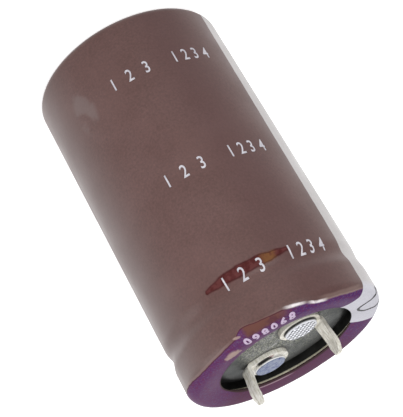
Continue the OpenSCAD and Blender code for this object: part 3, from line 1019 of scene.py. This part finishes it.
def positiveHeadMarks(web, place, color):
    # painted highlight on the head's pale wall, with painted shade only beside the opening
    height = web.split(place)["Z"]
    side = web.rise(web.radius(place, rivetSet["middle"]), headSet["sideRadius"])
    m = headSet["wall"]
    color = web.paint(color, m["color"], levelBelow(web, height, m["below"]), side, m["strength"])
    m = headSet["hollowShade"]
    return web.paint(color, m["color"], levelBelow(web, height, m["below"]), side,
                     web.near(openingTurn(web, place), *m["side"]), m["strength"])


finishes = {
    "can": metalMaterial("canFinish", metalLooks["can"], canMarks),
    "negativeBlade": metalMaterial("negativeBladeFinish", metalLooks["blade"], bladeMarks),
    "positiveBlade": metalMaterial("positiveBladeFinish", metalLooks["paleBlade"], bladeMarks),
    "positiveRivet": metalMaterial("positiveRivetFinish", metalLooks["blueRivet"], positiveHeadMarks),
    "negativeRivet": metalMaterial("negativeRivetFinish", metalLooks["brightRivet"], negativeHeadMarks),
    "washer": metalMaterial("washerFinish", metalLooks["rivet"]),
    "tab": metalMaterial("tabFinish", metalLooks["tab"]),
    "rubber": softMaterial("rubberFinish", softLooks["rubber"], rubberMarks),
    "board": softMaterial("boardFinish", softLooks["board"]),
    "winding": softMaterial("windingFinish", softLooks["winding"]),
    "tape": softMaterial("tapeFinish", softLooks["tape"]),
}


# Terminals with their stamped edges rounded
roundSet = {"width": 0.06, "segments": 3, "edgeAngle": 34, "smoothAngle": 38, "flatAngle": 1.0}


def copyNode(name, newName):
    copy = nodes[name].copy()
    copy.data = nodes[name].data.copy()
    copy.name = newName
    for key in list(copy.keys()):
        if key.startswith("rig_"):
            del copy[key]
    copy.parent = None
    bpy.context.scene.collection.objects.link(copy)
    editAll(copy)
    bpy.ops.mesh.remove_doubles(threshold=2e-7)
    bpy.ops.mesh.dissolve_limited(angle_limit=math.radians(roundSet["flatAngle"]))
    bpy.ops.mesh.normals_make_consistent(inside=False)
    bpy.ops.object.mode_set(mode="OBJECT")
    return copy


def roundedCopy(node, newName, material):
    piece = copyNode(node, newName)
    addModifier(piece, "BEVEL", width=roundSet["width"] * mm, segments=roundSet["segments"],
                limit_method="ANGLE", angle_limit=math.radians(roundSet["edgeAngle"]),
                use_clamp_overlap=True, harden_normals=False)
    smoothShade(piece, roundSet["smoothAngle"])
    addModifier(piece, "WEIGHTED_NORMAL", keep_sharp=True)
    finishPiece(piece, material, node)


for pole in ("positive", "negative"):
    roundedCopy("terminal_" + pole, "blade_" + pole, finishes[pole + "Blade"])
print("terminals: rounded")

nodeFinish = {
    "can": "can",
    "seal_rubber": "rubber",
    "seal_board": "board",
    "rivet_positive": "positiveRivet",
    "rivet_negative": "negativeRivet",
    "washer_positive": "washer",
    "washer_negative": "washer",
    "tab_positive": "tab",
    "tab_negative": "tab",
    "winding": "winding",
    "winding_tape": "tape",
}
for name, finish in nodeFinish.items():
    nodes[name].data.materials.clear()
    nodes[name].data.materials.append(finishes[finish])
print("kept nodes: finished")


# Floor and light
studioSet = {
    "floorSize": 3.0,
    "floorDrop": 0.05,
    "floorColor": (0.90, 0.90, 0.90),
    "floorGlow": 0.7,
    "worldStrength": 0.40,
    "aimHeight": 22,
    "front": {"place": (-0.12, -0.32, 0.20), "size": 0.24, "power": 0.62},
    "side": {"place": (0.30, -0.10, 0.12), "size": 0.20, "power": 0.30},
    "back": {"place": (0.05, 0.25, 0.35), "size": 0.25, "power": 0.40},
}


def seenRays(web):
    # 1 for what the camera, a mirror or glass shows, 0 for light on the object
    ray = web.put("ShaderNodeLightPath")
    seen = web.math("MAXIMUM", ray.outputs["Is Camera Ray"], ray.outputs["Is Glossy Ray"])
    return web.math("MAXIMUM", seen, ray.outputs["Is Transmission Ray"])


def addFloor(s):
    deselectAll()
    bpy.ops.mesh.primitive_plane_add(size=s["floorSize"], location=(0, 0, -s["floorDrop"] * mm))
    floor = bpy.context.object
    floor.name = "studioFloor"
    material, web, shader, _ = newMaterial("studioFloor")
    shader.inputs["Base Color"].default_value = (*s["floorColor"], 1)
    shader.inputs["Roughness"].default_value = 0.9
    shader.inputs["Specular IOR Level"].default_value = 0.1
    seen = seenRays(web)
    shader.inputs["Emission Color"].default_value = (1, 1, 1, 1)
    web.join(web.math("MULTIPLY", seen, s["floorGlow"]), shader.inputs["Emission Strength"])
    floor.data.materials.append(material)


def addLamp(name, lamp, aimHeight):
    deselectAll()
    place = Vector(lamp["place"])
    bpy.ops.object.light_add(type="AREA", location=place)
    light = bpy.context.object
    light.name = name
    light.data.size = lamp["size"]
    light.data.energy = lamp["power"]
    aim = Vector((0, 0, aimHeight * mm)) - place
    light.rotation_euler = aim.to_track_quat("-Z", "Y").to_euler()


def addWorld(s):
    world = bpy.data.worlds.new("studioWorld")
    world.use_nodes = True
    bpy.context.scene.world = world
    web = Web(world.node_tree)
    shader = world.node_tree.nodes["Background"]
    strength = web.math("MULTIPLY_ADD", seenRays(web), 1 - s["worldStrength"], s["worldStrength"])
    web.join(strength, shader.inputs["Strength"])
    shader.inputs["Color"].default_value = (1, 1, 1, 1)


addFloor(studioSet)
addWorld(studioSet)
for name in ("front", "side", "back"):
    addLamp(name + "Light", studioSet[name], studioSet["aimHeight"])
bpy.context.scene.view_settings.view_transform = "Standard"
print("studio: lit")
